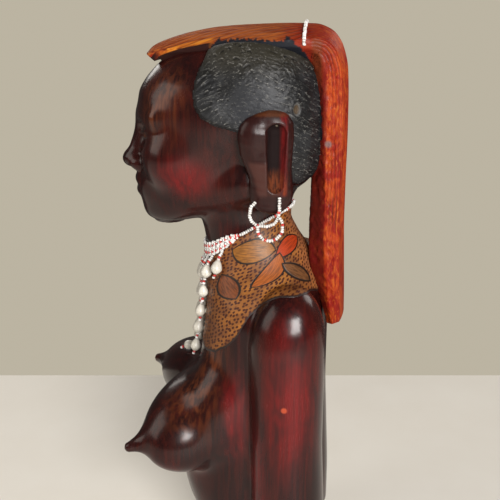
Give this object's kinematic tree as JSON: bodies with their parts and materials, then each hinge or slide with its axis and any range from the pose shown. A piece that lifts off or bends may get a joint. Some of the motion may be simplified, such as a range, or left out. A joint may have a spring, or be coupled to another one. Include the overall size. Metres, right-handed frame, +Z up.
{
  "type": "carved bust",
  "caption": "Carved hardwood bust of a woman with a plaited headdress, stretched ear lobes and strings of beads, standing on its flat underside.",
  "frame": {"origin": "centre of the bounding box at the level of the flat underside", "axes": "+Z up, the figure faces -Y, its left side is at +X"},
  "size_m": [0.1498, 0.1541, 0.4068],
  "materials": {
    "carved_wood": "stained and waxed, glossy",
    "seed_beads": "glossy opaque",
    "white_nuts": "naturally polished"
  },
  "bodies": {
    "root": {"bust": "carved_wood", "choker": "seed_beads", "strand_1": "white_nuts", "strand_2": "white_nuts", "strand_3": "white_nuts", "strand_4": "white_nuts", "strand_5": "white_nuts", "strand_6": "white_nuts", "strand_7": "white_nuts", "strand_8": "white_nuts", "ear_string_left": "seed_beads", "ear_string_right": "seed_beads", "ear_ring_left": "seed_beads", "ear_ring_right": "seed_beads", "headdress_string": "seed_beads"}
  },
  "joints": []
}
